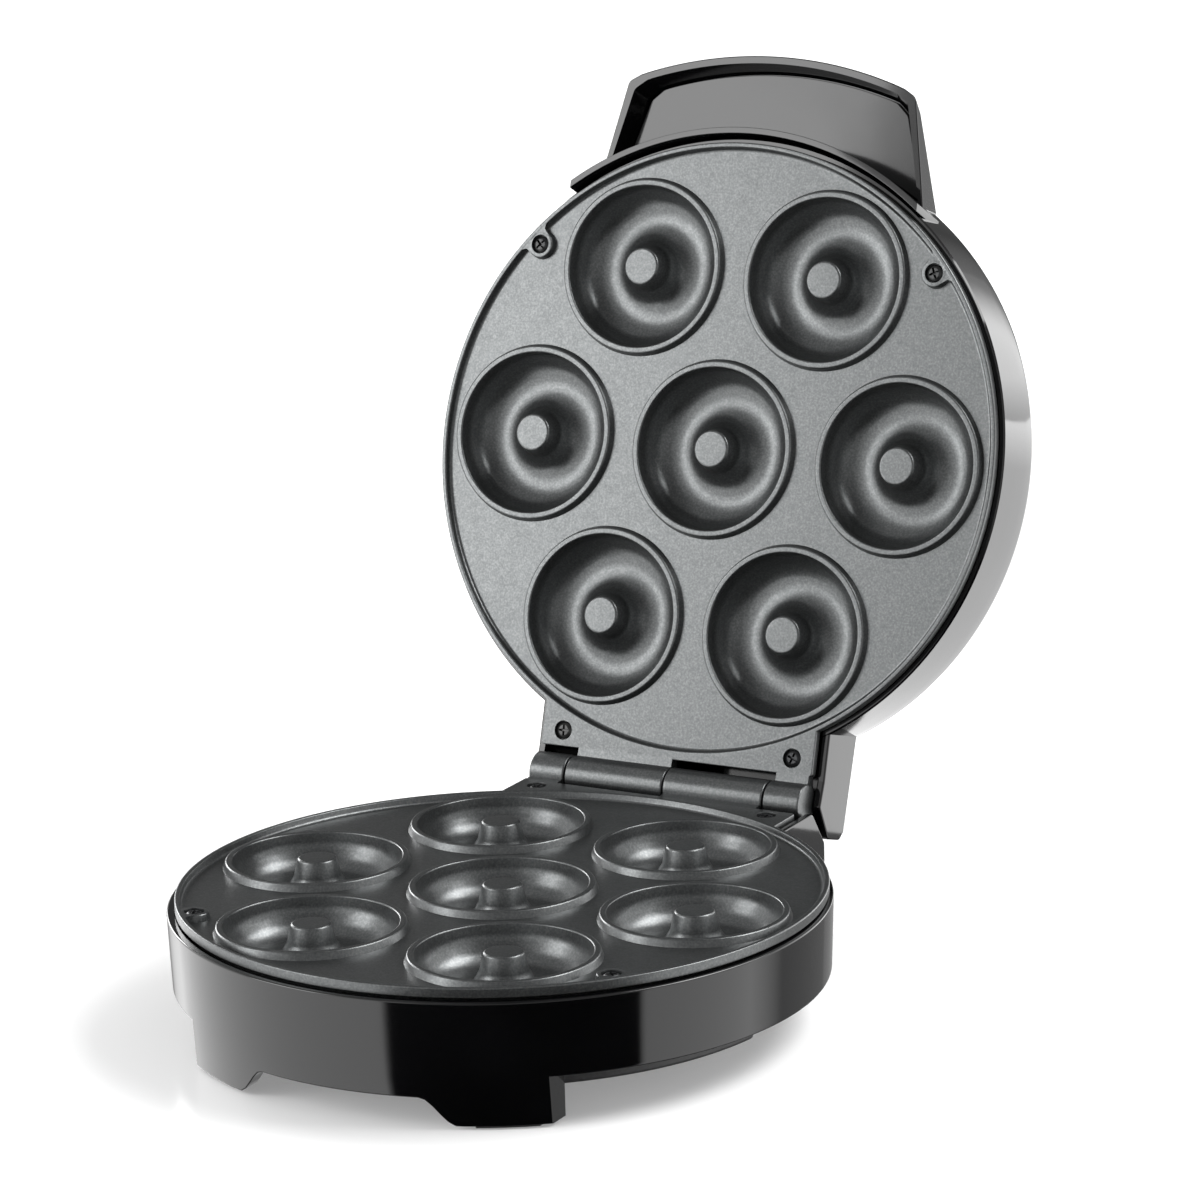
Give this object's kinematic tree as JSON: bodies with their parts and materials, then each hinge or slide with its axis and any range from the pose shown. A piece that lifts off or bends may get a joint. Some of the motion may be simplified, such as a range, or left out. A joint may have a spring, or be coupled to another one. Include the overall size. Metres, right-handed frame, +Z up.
{
  "type": "donut maker",
  "caption": "Round hinged electric donut maker standing open, with ring-shaped moulds in its base and lid, a wide front handle and low feet.",
  "frame": {"origin": "on the worktop, under the middle of the open appliance's bounding box", "axes": "+Z up, -Y towards the front edge of the base, +Y towards the hinge and the open lid, X along the hinge"},
  "size_m": [0.2026, 0.3056, 0.2679],
  "materials": {
    "housing": "glossy black",
    "panel": "glossy black",
    "cover": "matte black",
    "rubber": "matte dark grey",
    "plate": "fine-grained dark grey non-stick coating",
    "steel": "zinc-plated sheet",
    "screw": "blackened steel",
    "element": "heat-darkened steel sheath",
    "ceramic": "unglazed ceramic",
    "red_lens": "translucent red",
    "green_lens": "translucent green",
    "bulb": "clear glass"
  },
  "bodies": {
    "base": {"base_housing": "housing", "bottom_cover": "cover", "foot_pad_front_left": "rubber", "foot_pad_front_right": "rubber", "foot_pad_rear_left": "rubber", "foot_pad_rear_right": "rubber", "cover_screw_1": "screw", "cover_screw_2": "screw", "cover_screw_3": "screw", "cover_screw_4": "screw", "hinge_pin": "steel", "thermostat": "ceramic", "terminal_block": "ceramic", "cord_bushing": "rubber", "lower_baking_plate": "plate", "lower_heating_element": "element", "lower_heat_shield": "steel", "lower_plate_screw_1": "screw", "lower_plate_screw_2": "screw", "lower_plate_screw_3": "screw", "lower_plate_screw_4": "screw", "lower_shield_screw_1": "steel", "lower_shield_screw_2": "steel", "lower_shield_screw_3": "steel", "lower_thermal_fuse": "ceramic"},
    "lid": {"lid_housing": "housing", "handle_panel": "panel", "power_lamp_lens": "red_lens", "power_lamp_bulb": "bulb", "ready_lamp_lens": "green_lens", "ready_lamp_bulb": "bulb", "upper_baking_plate": "plate", "upper_heating_element": "element", "upper_heat_shield": "steel", "upper_plate_screw_1": "screw", "upper_plate_screw_2": "screw", "upper_plate_screw_3": "screw", "upper_plate_screw_4": "screw", "upper_shield_screw_1": "steel", "upper_shield_screw_2": "steel", "upper_shield_screw_3": "steel", "upper_thermal_fuse": "ceramic"}
  },
  "joints": [
    {"name": "lid_hinge", "type": "hinge", "parent": "base", "child": "lid", "pos_m": [0, 0.05954, 0.04304], "axis": [1, 0, 0], "range_deg": [0, 107.2]}
  ]
}
